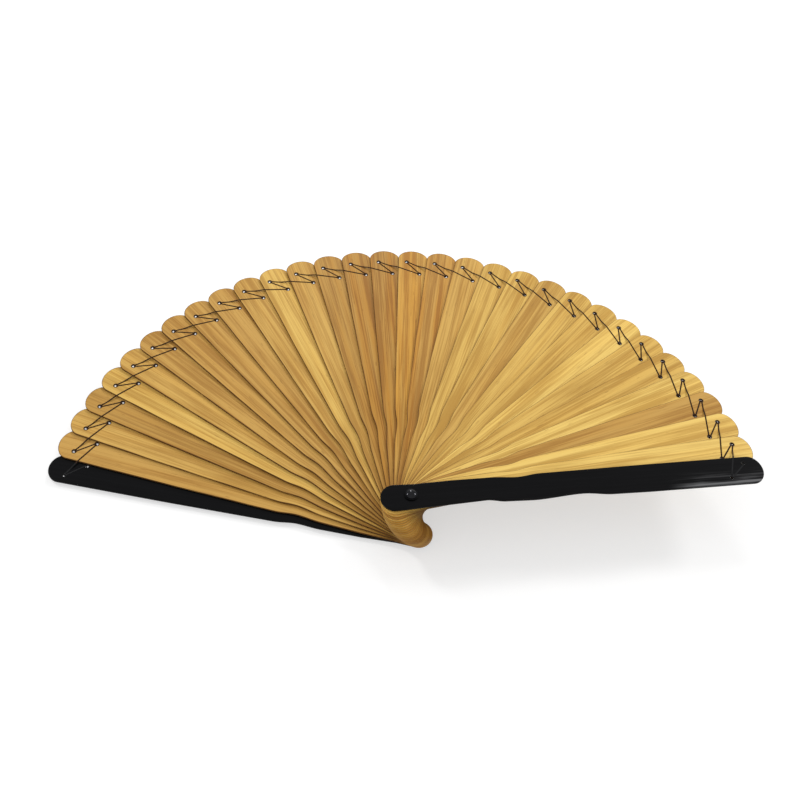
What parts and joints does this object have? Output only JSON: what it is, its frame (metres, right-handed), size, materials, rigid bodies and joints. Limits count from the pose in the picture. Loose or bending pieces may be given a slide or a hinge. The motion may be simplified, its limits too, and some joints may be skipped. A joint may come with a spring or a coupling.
{
  "type": "folding hand fan",
  "caption": "Folding hand fan, open: flat bamboo blades between two black guard sticks, on one rivet, laced near the tips with a dark thread.",
  "frame": {"origin": "on the rivet's axis, at the centre of its flat back end", "axes": "+Z along the rivet from the back guard to the front guard, +Y through the middle of the open fan, +X towards the front guard's side"},
  "size_m": [0.4222, 0.231, 0.0472],
  "materials": {
    "bamboo_pale": "smooth sanded bamboo, pale straw",
    "bamboo_straw": "smooth sanded bamboo, straw yellow",
    "bamboo_honey": "smooth sanded bamboo, honey",
    "bamboo_tan": "smooth sanded bamboo, tan",
    "bamboo_brown": "smooth sanded bamboo, orange brown",
    "black_lacquer": "gloss black lacquer",
    "blackened_steel": "blackened, glossy",
    "dark_thread": "twisted dark brown thread"
  },
  "bodies": {
    "guard_back_body": {"guard_back": "black_lacquer", "rivet": "blackened_steel", "washer_back": "blackened_steel", "washer_front": "blackened_steel", "lacing_thread": "dark_thread"},
    "blade_01_body": {"blade_01": "bamboo_tan"},
    "blade_02_body": {"blade_02": "bamboo_honey"},
    "blade_03_body": {"blade_03": "bamboo_brown"},
    "blade_04_body": {"blade_04": "bamboo_straw"},
    "blade_05_body": {"blade_05": "bamboo_honey"},
    "blade_06_body": {"blade_06": "bamboo_tan"},
    "blade_07_body": {"blade_07": "bamboo_tan"},
    "blade_08_body": {"blade_08": "bamboo_tan"},
    "blade_09_body": {"blade_09": "bamboo_tan"},
    "blade_10_body": {"blade_10": "bamboo_honey"},
    "blade_11_body": {"blade_11": "bamboo_straw"},
    "blade_12_body": {"blade_12": "bamboo_honey"},
    "blade_13_body": {"blade_13": "bamboo_brown"},
    "blade_14_body": {"blade_14": "bamboo_brown"},
    "blade_15_body": {"blade_15": "bamboo_brown"},
    "blade_16_body": {"blade_16": "bamboo_honey"},
    "blade_17_body": {"blade_17": "bamboo_tan"},
    "blade_18_body": {"blade_18": "bamboo_honey"},
    "blade_19_body": {"blade_19": "bamboo_straw"},
    "blade_20_body": {"blade_20": "bamboo_straw"},
    "blade_21_body": {"blade_21": "bamboo_honey"},
    "blade_22_body": {"blade_22": "bamboo_straw"},
    "blade_23_body": {"blade_23": "bamboo_straw"},
    "blade_24_body": {"blade_24": "bamboo_pale"},
    "blade_25_body": {"blade_25": "bamboo_straw"},
    "blade_26_body": {"blade_26": "bamboo_straw"},
    "blade_27_body": {"blade_27": "bamboo_pale"},
    "blade_28_body": {"blade_28": "bamboo_tan"},
    "blade_29_body": {"blade_29": "bamboo_pale"},
    "blade_30_body": {"blade_30": "bamboo_pale"},
    "guard_front_body": {"guard_front": "black_lacquer"}
  },
  "joints": [
    {"name": "fold_01", "type": "hinge", "parent": "guard_back_body", "child": "blade_01_body", "pos_m": [0, 0, 0], "axis": [0, 0, 1], "range_deg": [0, 4.66], "deforming": ["lacing_thread"]},
    {"name": "fold_02", "type": "hinge", "parent": "blade_01_body", "child": "blade_02_body", "pos_m": [0, 0, 0], "axis": [0, 0, 1], "range_deg": [0, 4.75], "deforming": ["lacing_thread"]},
    {"name": "fold_03", "type": "hinge", "parent": "blade_02_body", "child": "blade_03_body", "pos_m": [0, 0, 0], "axis": [0, 0, 1], "range_deg": [0, 4.84], "deforming": ["lacing_thread"]},
    {"name": "fold_04", "type": "hinge", "parent": "blade_03_body", "child": "blade_04_body", "pos_m": [0, 0, 0], "axis": [0, 0, 1], "range_deg": [0, 4.92], "deforming": ["lacing_thread"]},
    {"name": "fold_05", "type": "hinge", "parent": "blade_04_body", "child": "blade_05_body", "pos_m": [0, 0, 0], "axis": [0, 0, 1], "range_deg": [0, 5], "deforming": ["lacing_thread"]},
    {"name": "fold_06", "type": "hinge", "parent": "blade_05_body", "child": "blade_06_body", "pos_m": [0, 0, 0], "axis": [0, 0, 1], "range_deg": [0, 5.07], "deforming": ["lacing_thread"]},
    {"name": "fold_07", "type": "hinge", "parent": "blade_06_body", "child": "blade_07_body", "pos_m": [0, 0, 0], "axis": [0, 0, 1], "range_deg": [0, 5.14], "deforming": ["lacing_thread"]},
    {"name": "fold_08", "type": "hinge", "parent": "blade_07_body", "child": "blade_08_body", "pos_m": [0, 0, 0], "axis": [0, 0, 1], "range_deg": [0, 5.2], "deforming": ["lacing_thread"]},
    {"name": "fold_09", "type": "hinge", "parent": "blade_08_body", "child": "blade_09_body", "pos_m": [0, 0, 0], "axis": [0, 0, 1], "range_deg": [0, 5.25], "deforming": ["lacing_thread"]},
    {"name": "fold_10", "type": "hinge", "parent": "blade_09_body", "child": "blade_10_body", "pos_m": [0, 0, 0], "axis": [0, 0, 1], "range_deg": [0, 5.3], "deforming": ["lacing_thread"]},
    {"name": "fold_11", "type": "hinge", "parent": "blade_10_body", "child": "blade_11_body", "pos_m": [0, 0, 0], "axis": [0, 0, 1], "range_deg": [0, 5.35], "deforming": ["lacing_thread"]},
    {"name": "fold_12", "type": "hinge", "parent": "blade_11_body", "child": "blade_12_body", "pos_m": [0, 0, 0], "axis": [0, 0, 1], "range_deg": [0, 5.38], "deforming": ["lacing_thread"]},
    {"name": "fold_13", "type": "hinge", "parent": "blade_12_body", "child": "blade_13_body", "pos_m": [0, 0, 0], "axis": [0, 0, 1], "range_deg": [0, 5.42], "deforming": ["lacing_thread"]},
    {"name": "fold_14", "type": "hinge", "parent": "blade_13_body", "child": "blade_14_body", "pos_m": [0, 0, 0], "axis": [0, 0, 1], "range_deg": [0, 5.45], "deforming": ["lacing_thread"]},
    {"name": "fold_15", "type": "hinge", "parent": "blade_14_body", "child": "blade_15_body", "pos_m": [0, 0, 0], "axis": [0, 0, 1], "range_deg": [0, 5.47], "deforming": ["lacing_thread"]},
    {"name": "fold_16", "type": "hinge", "parent": "blade_15_body", "child": "blade_16_body", "pos_m": [0, 0, 0], "axis": [0, 0, 1], "range_deg": [0, 5.48], "deforming": ["lacing_thread"]},
    {"name": "fold_17", "type": "hinge", "parent": "blade_16_body", "child": "blade_17_body", "pos_m": [0, 0, 0], "axis": [0, 0, 1], "range_deg": [0, 5.49], "deforming": ["lacing_thread"]},
    {"name": "fold_18", "type": "hinge", "parent": "blade_17_body", "child": "blade_18_body", "pos_m": [0, 0, 0], "axis": [0, 0, 1], "range_deg": [0, 5.5], "deforming": ["lacing_thread"]},
    {"name": "fold_19", "type": "hinge", "parent": "blade_18_body", "child": "blade_19_body", "pos_m": [0, 0, 0], "axis": [0, 0, 1], "range_deg": [0, 5.5], "deforming": ["lacing_thread"]},
    {"name": "fold_20", "type": "hinge", "parent": "blade_19_body", "child": "blade_20_body", "pos_m": [0, 0, 0], "axis": [0, 0, 1], "range_deg": [0, 5.5], "deforming": ["lacing_thread"]},
    {"name": "fold_21", "type": "hinge", "parent": "blade_20_body", "child": "blade_21_body", "pos_m": [0, 0, 0], "axis": [0, 0, 1], "range_deg": [0, 5.48], "deforming": ["lacing_thread"]},
    {"name": "fold_22", "type": "hinge", "parent": "blade_21_body", "child": "blade_22_body", "pos_m": [0, 0, 0], "axis": [0, 0, 1], "range_deg": [0, 5.47], "deforming": ["lacing_thread"]},
    {"name": "fold_23", "type": "hinge", "parent": "blade_22_body", "child": "blade_23_body", "pos_m": [0, 0, 0], "axis": [0, 0, 1], "range_deg": [0, 5.45], "deforming": ["lacing_thread"]},
    {"name": "fold_24", "type": "hinge", "parent": "blade_23_body", "child": "blade_24_body", "pos_m": [0, 0, 0], "axis": [0, 0, 1], "range_deg": [0, 5.42], "deforming": ["lacing_thread"]},
    {"name": "fold_25", "type": "hinge", "parent": "blade_24_body", "child": "blade_25_body", "pos_m": [0, 0, 0], "axis": [0, 0, 1], "range_deg": [0, 5.39], "deforming": ["lacing_thread"]},
    {"name": "fold_26", "type": "hinge", "parent": "blade_25_body", "child": "blade_26_body", "pos_m": [0, 0, 0], "axis": [0, 0, 1], "range_deg": [0, 5.35], "deforming": ["lacing_thread"]},
    {"name": "fold_27", "type": "hinge", "parent": "blade_26_body", "child": "blade_27_body", "pos_m": [0, 0, 0], "axis": [0, 0, 1], "range_deg": [0, 5.3], "deforming": ["lacing_thread"]},
    {"name": "fold_28", "type": "hinge", "parent": "blade_27_body", "child": "blade_28_body", "pos_m": [0, 0, 0], "axis": [0, 0, 1], "range_deg": [0, 5.25], "deforming": ["lacing_thread"]},
    {"name": "fold_29", "type": "hinge", "parent": "blade_28_body", "child": "blade_29_body", "pos_m": [0, 0, 0], "axis": [0, 0, 1], "range_deg": [0, 5.2], "deforming": ["lacing_thread"]},
    {"name": "fold_30", "type": "hinge", "parent": "blade_29_body", "child": "blade_30_body", "pos_m": [0, 0, 0], "axis": [0, 0, 1], "range_deg": [0, 5.14], "deforming": ["lacing_thread"]},
    {"name": "fold_31", "type": "hinge", "parent": "blade_30_body", "child": "guard_front_body", "pos_m": [0, 0, 0], "axis": [0, 0, 1], "range_deg": [0, 4.37], "deforming": ["lacing_thread"]}
  ],
  "couplings": [
    {"joint": "fold_02", "follows": "fold_01", "ratio": 1.02},
    {"joint": "fold_03", "follows": "fold_01", "ratio": 1.0388},
    {"joint": "fold_04", "follows": "fold_01", "ratio": 1.0565},
    {"joint": "fold_05", "follows": "fold_01", "ratio": 1.073},
    {"joint": "fold_06", "follows": "fold_01", "ratio": 1.0883},
    {"joint": "fold_07", "follows": "fold_01", "ratio": 1.1024},
    {"joint": "fold_08", "follows": "fold_01", "ratio": 1.1154},
    {"joint": "fold_09", "follows": "fold_01", "ratio": 1.1271},
    {"joint": "fold_10", "follows": "fold_01", "ratio": 1.1377},
    {"joint": "fold_11", "follows": "fold_01", "ratio": 1.1472},
    {"joint": "fold_12", "follows": "fold_01", "ratio": 1.1554},
    {"joint": "fold_13", "follows": "fold_01", "ratio": 1.1625},
    {"joint": "fold_14", "follows": "fold_01", "ratio": 1.1684},
    {"joint": "fold_15", "follows": "fold_01", "ratio": 1.1731},
    {"joint": "fold_16", "follows": "fold_01", "ratio": 1.1767},
    {"joint": "fold_17", "follows": "fold_01", "ratio": 1.179},
    {"joint": "fold_18", "follows": "fold_01", "ratio": 1.1802},
    {"joint": "fold_19", "follows": "fold_01", "ratio": 1.1802},
    {"joint": "fold_20", "follows": "fold_01", "ratio": 1.1791},
    {"joint": "fold_21", "follows": "fold_01", "ratio": 1.1768},
    {"joint": "fold_22", "follows": "fold_01", "ratio": 1.1733},
    {"joint": "fold_23", "follows": "fold_01", "ratio": 1.1686},
    {"joint": "fold_24", "follows": "fold_01", "ratio": 1.1627},
    {"joint": "fold_25", "follows": "fold_01", "ratio": 1.1557},
    {"joint": "fold_26", "follows": "fold_01", "ratio": 1.1475},
    {"joint": "fold_27", "follows": "fold_01", "ratio": 1.1381},
    {"joint": "fold_28", "follows": "fold_01", "ratio": 1.1275},
    {"joint": "fold_29", "follows": "fold_01", "ratio": 1.1158},
    {"joint": "fold_30", "follows": "fold_01", "ratio": 1.1029},
    {"joint": "fold_31", "follows": "fold_01", "ratio": 0.93862}
  ]
}
